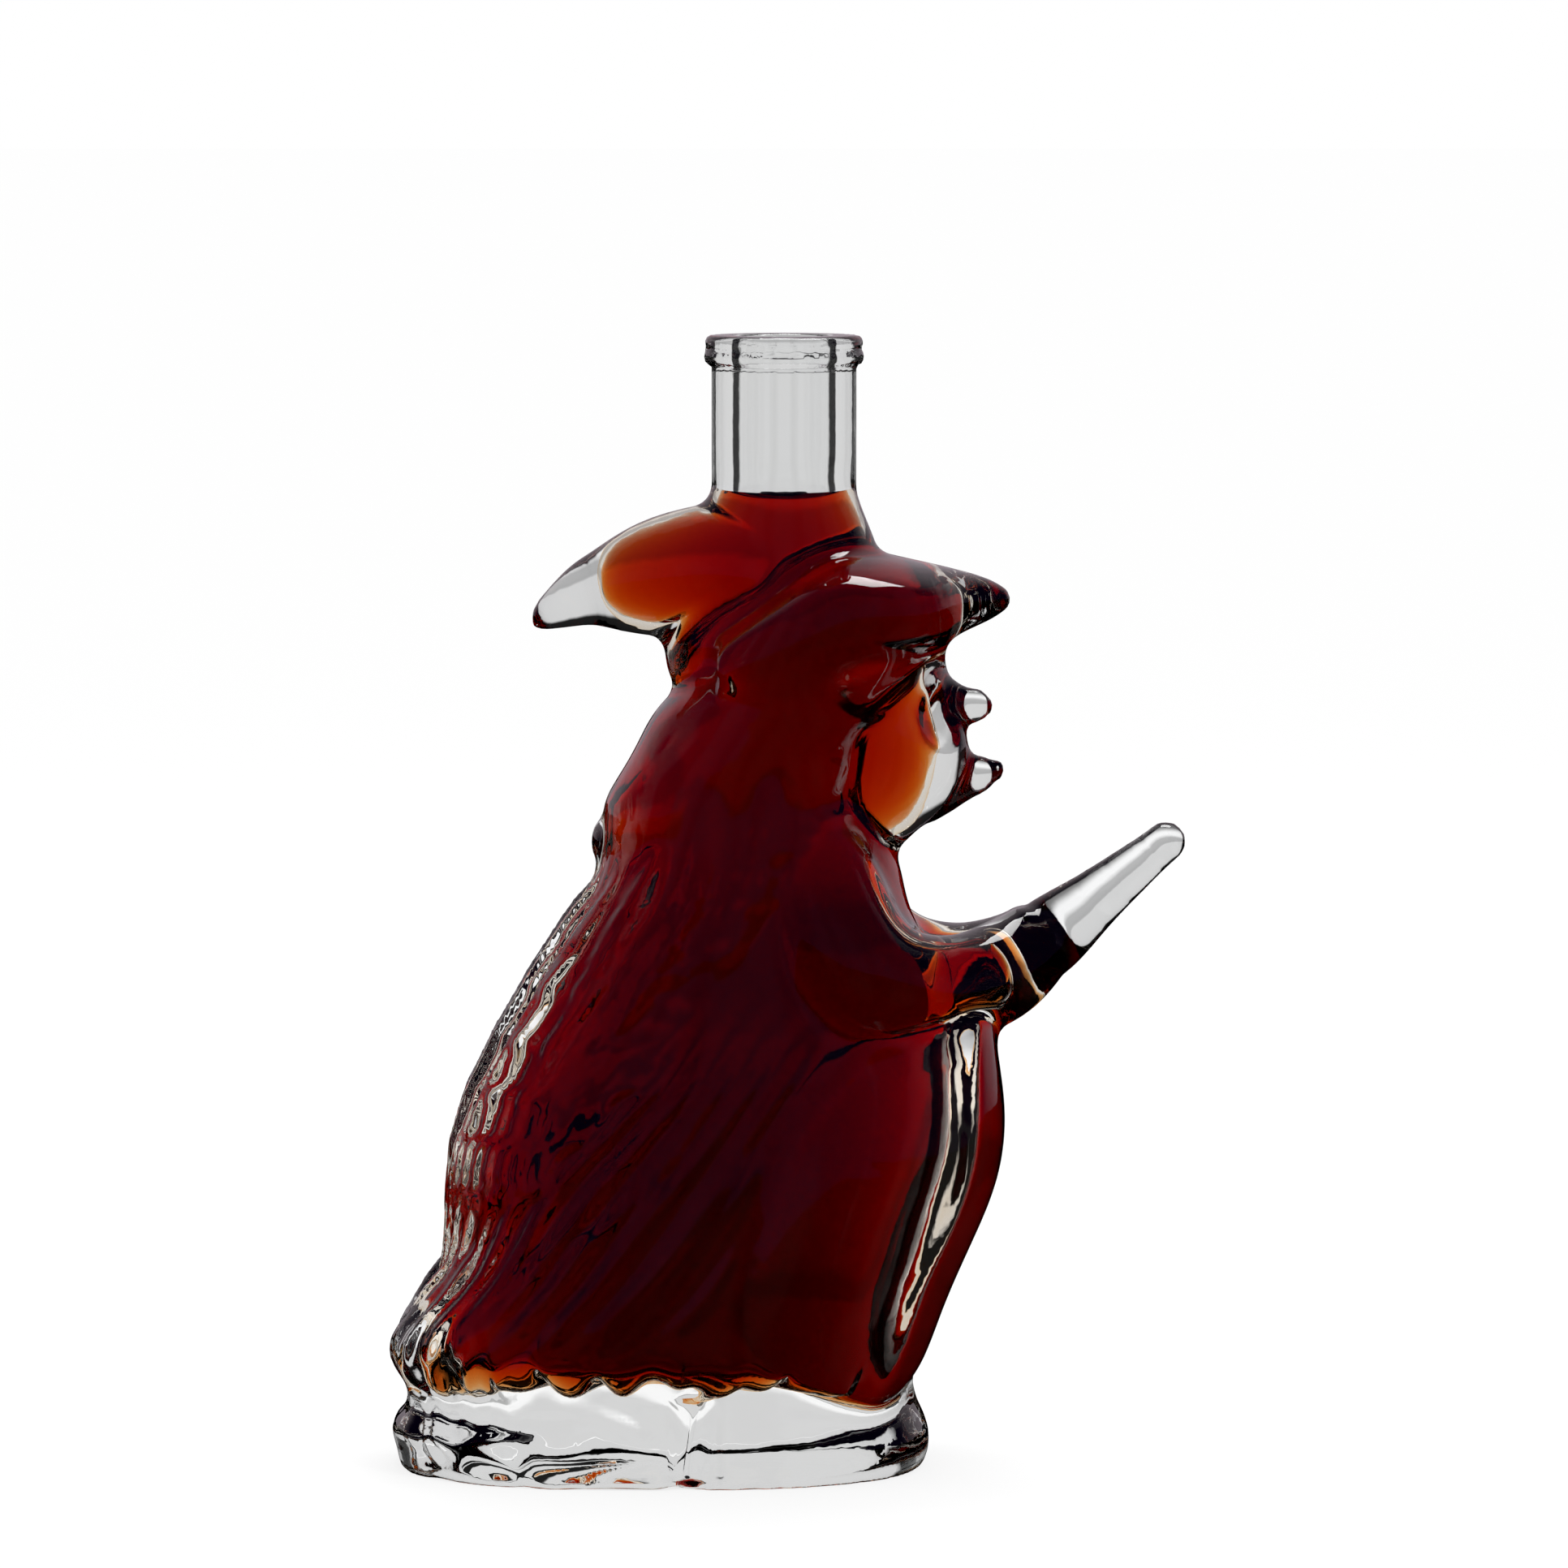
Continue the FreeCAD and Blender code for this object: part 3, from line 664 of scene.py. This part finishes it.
def backlight():
    # brightness by the turn around the bottle, shared by the surround and the floor, where it is painted
    # light
    group = bpy.data.node_groups.new("backlight", "ShaderNodeTree")
    group.interface.new_socket("Vector", in_out="INPUT", socket_type="NodeSocketVector")
    group.interface.new_socket("Color", in_out="OUTPUT", socket_type="NodeSocketColor")
    start = addNode(group, "NodeGroupInput", -900, 0)
    end = addNode(group, "NodeGroupOutput", 200, 0)
    split = addNode(group, "ShaderNodeSeparateXYZ", -700, 0)
    turn = addNode(group, "ShaderNodeMath", -500, 0, operation="ARCTAN2")
    size = addNode(group, "ShaderNodeMath", -350, 0, operation="ABSOLUTE")
    half = addNode(group, "ShaderNodeMath", -200, 0, operation="DIVIDE")
    half.inputs[1].default_value = math.pi
    ring = addNode(group, "ShaderNodeValToRGB", -50, 0)
    fillRamp(ring.color_ramp, panels)
    link = group.links.new
    link(start.outputs["Vector"], split.inputs["Vector"])
    link(split.outputs["X"], turn.inputs[0])
    link(split.outputs["Y"], turn.inputs[1])
    link(turn.outputs["Value"], size.inputs[0])
    link(size.outputs["Value"], half.inputs[0])
    link(half.outputs["Value"], ring.inputs["Fac"])
    link(ring.outputs["Color"], end.inputs["Color"])
    return group


backlightGroup = backlight()


def mixColor(tree, x, y, factor, first, second):
    # colours are given as levels, or as outputs to link
    # a colour mix has its colours at inputs 6 and 7, and its result at output 2
    mix = addNode(tree, "ShaderNodeMix", x, y, data_type="RGBA")
    tree.links.new(factor, mix.inputs[0])
    for socket, source in ((mix.inputs[6], first), (mix.inputs[7], second)):
        if isinstance(source, tuple):
            socket.default_value = source + (1.0,)
        else:
            tree.links.new(source, socket)
    return mix.outputs[2]


def mapRange(tree, x, y, source, spread, levels):
    node = addNode(tree, "ShaderNodeMapRange", x, y, interpolation_type="SMOOTHSTEP")
    tree.links.new(source, node.inputs["Value"])
    node.inputs["From Min"].default_value, node.inputs["From Max"].default_value = spread
    node.inputs["To Min"].default_value, node.inputs["To Max"].default_value = levels
    return node.outputs["Result"]


def scaled(tree, x, y, vector, value):
    node = addNode(tree, "ShaderNodeVectorMath", x, y, operation="SCALE")
    tree.links.new(vector, node.inputs["Vector"])
    tree.links.new(value, node.inputs["Scale"])
    return node.outputs["Vector"]


def makeWorld():
    world = bpy.data.worlds.new("surround")
    scene.world = world
    world.use_nodes = True
    tree = world.node_tree
    link = tree.links.new
    place = addNode(tree, "ShaderNodeTexCoord", -1100, 0)
    split = addNode(tree, "ShaderNodeSeparateXYZ", -900, -200)
    ring = addNode(tree, "ShaderNodeGroup", -700, 200, node_tree=backlightGroup)
    path = addNode(tree, "ShaderNodeLightPath", -700, -600)
    link(place.outputs["Generated"], split.inputs["Vector"])
    link(place.outputs["Generated"], ring.inputs["Vector"])
    low = mapRange(tree, -700, 0, split.outputs["Z"], surround["skyline"], surround["skyLight"])
    through = scaled(tree, -450, 100, ring.outputs["Color"], low)
    behind = mapRange(tree, -700, -300, split.outputs["Y"], surround["behind"], (0.0, 1.0))
    gloss = mixColor(tree, -450, -250, behind, surround["glossFront"], surround["glossBehind"])
    seen = mixColor(tree, -200, 0, path.outputs["Is Transmission Ray"], gloss, through)
    seen = mixColor(tree, 0, 0, path.outputs["Is Diffuse Ray"], seen, surround["soft"])
    seen = mixColor(tree, 200, 0, path.outputs["Is Camera Ray"], seen, surround["white"])
    link(seen, tree.nodes["Background"].inputs["Color"])
    tree.nodes["Background"].inputs["Strength"].default_value = 1.0


def makeFloor():
    build = bmesh.new()
    bmesh.ops.create_grid(build, x_segments=2, y_segments=2, size=studio["floorSize"] / 2.0)
    mesh = bpy.data.meshes.new("floor")
    build.to_mesh(mesh)
    build.free()
    floor = bpy.data.objects.new("floor", mesh)
    scene.collection.objects.link(floor)
    material = bpy.data.materials.new("whiteFloor")
    material.use_nodes = True
    tree = material.node_tree
    link = tree.links.new
    tree.nodes.remove(tree.nodes["Principled BSDF"])
    paper = addNode(tree, "ShaderNodeBsdfDiffuse", 200, 300)
    paper.inputs["Color"].default_value = studio["paper"]
    glow = addNode(tree, "ShaderNodeEmission", 200, 0)
    path = addNode(tree, "ShaderNodeLightPath", -700, 400)
    place = addNode(tree, "ShaderNodeTexCoord", -1300, -100)
    inFeet = addNode(tree, "ShaderNodeVectorMath", -1100, -200, operation="DIVIDE")
    footLong, footWide = studio["footHalf"]
    inFeet.inputs[1].default_value = (footLong * mm, footWide * mm, 1.0)
    reach = addNode(tree, "ShaderNodeVectorMath", -900, -200, operation="LENGTH")
    ring = addNode(tree, "ShaderNodeGroup", -900, 50, node_tree=backlightGroup)
    glance = addNode(tree, "ShaderNodeLayerWeight", -900, -450)
    link(place.outputs["Object"], ring.inputs["Vector"])
    link(place.outputs["Object"], inFeet.inputs[0])
    link(inFeet.outputs["Vector"], reach.inputs[0])
    # seen through the glass, the floor carries painted light: it shines at a glance, is darker from above,
    # has a painted shadow under the foot and bright and dark sectors by the turn around the bottle
    clear = mapRange(tree, -700, -200, reach.outputs["Value"], surround["clearOfFoot"], (0.0, 1.0))
    shine = mapRange(tree, -700, -450, glance.outputs["Facing"], surround["glance"], surround["glanceLight"])
    through = scaled(tree, -500, 0, ring.outputs["Color"], clear)
    through = scaled(tree, -300, -100, through, shine)
    farthest = floorLight[-1][0]
    far = addNode(tree, "ShaderNodeMath", -700, -700, operation="DIVIDE")
    far.inputs[1].default_value = farthest
    # painted pool of light and darker band on the floor, by distance from the foot
    band = addNode(tree, "ShaderNodeValToRGB", -500, -700)
    fillRamp(band.color_ramp, [(distance / farthest, level) for distance, level in floorLight])
    link(reach.outputs["Value"], far.inputs[0])
    link(far.outputs["Value"], band.inputs["Fac"])
    through = scaled(tree, -200, -200, through, band.outputs["Color"])
    # in reflections the floor shows black, a painted dark reflection
    seen = mixColor(tree, -100, 0, path.outputs["Is Transmission Ray"], surround["black"], through)
    seen = mixColor(tree, 50, 0, path.outputs["Is Camera Ray"], seen, surround["white"])
    link(seen, glow.inputs["Color"])
    shown = addNode(tree, "ShaderNodeMath", -300, 400, operation="MULTIPLY")
    shown.inputs[1].default_value = studio["floorWhite"]
    share = addNode(tree, "ShaderNodeMath", -100, 400, operation="MAXIMUM")
    mix = addNode(tree, "ShaderNodeMixShader", 400, 100)
    link(path.outputs["Is Camera Ray"], shown.inputs[0])
    link(shown.outputs["Value"], share.inputs[0])
    link(path.outputs["Is Glossy Ray"], share.inputs[1])
    link(share.outputs["Value"], mix.inputs["Fac"])
    link(paper.outputs["BSDF"], mix.inputs[1])
    link(glow.outputs["Emission"], mix.inputs[2])
    link(mix.outputs["Shader"], tree.nodes["Material Output"].inputs["Surface"])
    mesh.materials.append(material)


lamps = {
    "overhead": {
        "place": (0.12, 0.35, 0.95), "aim": (0.02, 0.0, 0.12), "size": (0.5, 0.3),
        "power": 4.0, "gloss": True,
    },
    "frontFill": {
        "place": (0.75, -0.95, 0.75), "aim": (0.02, 0.0, 0.10), "size": (0.35, 0.5),
        "power": 5.0, "gloss": False,
    },
}


def makeLamp(name, lamp):
    data = bpy.data.lights.new(name, "AREA")
    data.shape = "RECTANGLE"
    data.size, data.size_y = lamp["size"]
    data.energy = lamp["power"]
    light = bpy.data.objects.new(name, data)
    scene.collection.objects.link(light)
    light.location = lamp["place"]
    light.visible_glossy = lamp["gloss"]
    light.visible_transmission = False
    way = Vector(lamp["aim"]) - Vector(lamp["place"])
    light.rotation_euler = way.to_track_quat("-Z", "Y").to_euler()


makeCamera()
makeWorld()
makeFloor()
for lampName, lampLook in lamps.items():
    makeLamp(lampName, lampLook)
print("studio lit")
